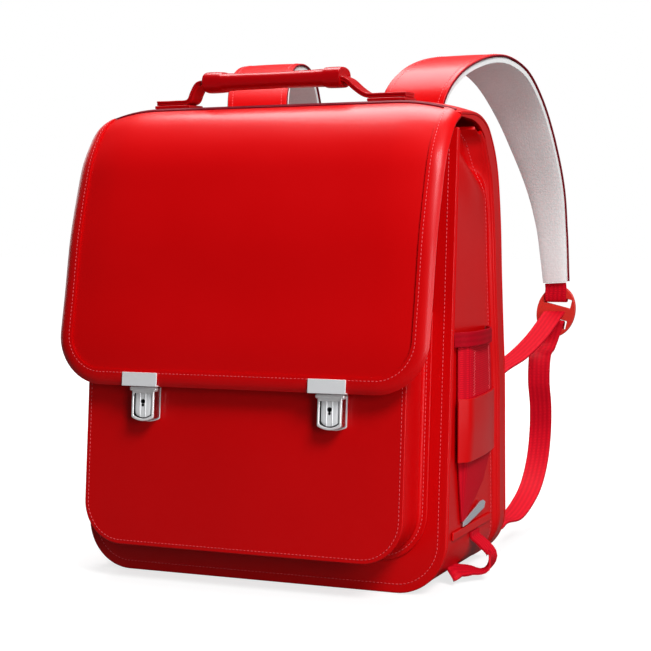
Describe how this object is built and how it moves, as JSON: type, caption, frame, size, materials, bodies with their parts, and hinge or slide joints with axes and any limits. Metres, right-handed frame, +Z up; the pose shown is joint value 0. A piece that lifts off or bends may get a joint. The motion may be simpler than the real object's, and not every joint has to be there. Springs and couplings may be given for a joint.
{
  "type": "school ransel backpack",
  "caption": "Stiff boxy school backpack with a short flap, front pocket, push locks, top handle, side holders and padded shoulder straps.",
  "frame": {"origin": "middle of the flat bottom of the case, on the surface it stands on", "axes": "+Z up, the flap and pocket face -Y, the wearer's side with the shoulder straps faces +Y, +X to the right seen from the front"},
  "size_m": [0.327, 0.4184, 0.4073],
  "materials": {
    "red_leather": "smooth glossy coated leather",
    "edge_paint": "dark red edge paint",
    "red_webbing": "woven nylon webbing",
    "red_plastic": "moulded satin plastic",
    "grey_mesh": "soft spacer mesh lining",
    "silver_metal": "polished and brushed plating",
    "reflective_patch": "grey reflective cloth"
  },
  "bodies": {
    "bag": {"flap": "red_leather", "back_panel": "red_leather", "flap_binding": "red_leather", "top_seam_strip": "edge_paint", "front_panel": "red_leather", "case_gusset": "red_leather", "front_piping": "red_leather", "back_piping": "red_leather", "pocket_front": "red_leather", "pocket_gusset": "red_leather", "lock_case_left": "silver_metal", "lock_case_right": "silver_metal", "lock_plate_left": "silver_metal", "lock_plate_right": "silver_metal", "handle_strap": "red_leather", "handle_grip": "red_leather", "handle_tab_left": "red_leather", "handle_tab_right": "red_leather", "strap_left": "red_leather", "strap_right": "red_leather", "strap_lining_left": "grey_mesh", "strap_lining_right": "grey_mesh", "strap_tab_left": "red_webbing", "strap_tab_right": "red_webbing", "slider_left": "red_plastic", "slider_right": "red_plastic", "webbing_left": "red_webbing", "webbing_right": "red_webbing", "webbing_tail_left": "red_webbing", "webbing_tail_right": "red_webbing", "lower_tab_left": "red_leather", "lower_tab_right": "red_leather", "strap_anchor": "red_leather", "side_sling_left": "red_webbing", "side_sling_right": "red_webbing", "side_sleeve_left": "red_leather", "side_sleeve_right": "red_leather", "side_reflector_left": "reflective_patch", "side_reflector_right": "reflective_patch", "side_strip_left": "red_leather", "side_strip_right": "red_leather", "bottle_band_left": "red_webbing", "bottle_band_right": "red_webbing", "side_loop_left": "red_webbing", "side_loop_right": "red_webbing"},
    "button_left": {"lock_button_left": "silver_metal"},
    "button_right": {"lock_button_right": "silver_metal"}
  },
  "joints": [
    {"name": "lock_button_left_push", "type": "slide", "parent": "bag", "child": "button_left", "axis": [0, 0.9945, -0.1044], "range_m": [0, 0.002], "stiffness_N_per_m": 300},
    {"name": "lock_button_right_push", "type": "slide", "parent": "bag", "child": "button_right", "axis": [0, 0.9945, -0.1044], "range_m": [0, 0.002], "stiffness_N_per_m": 300}
  ]
}
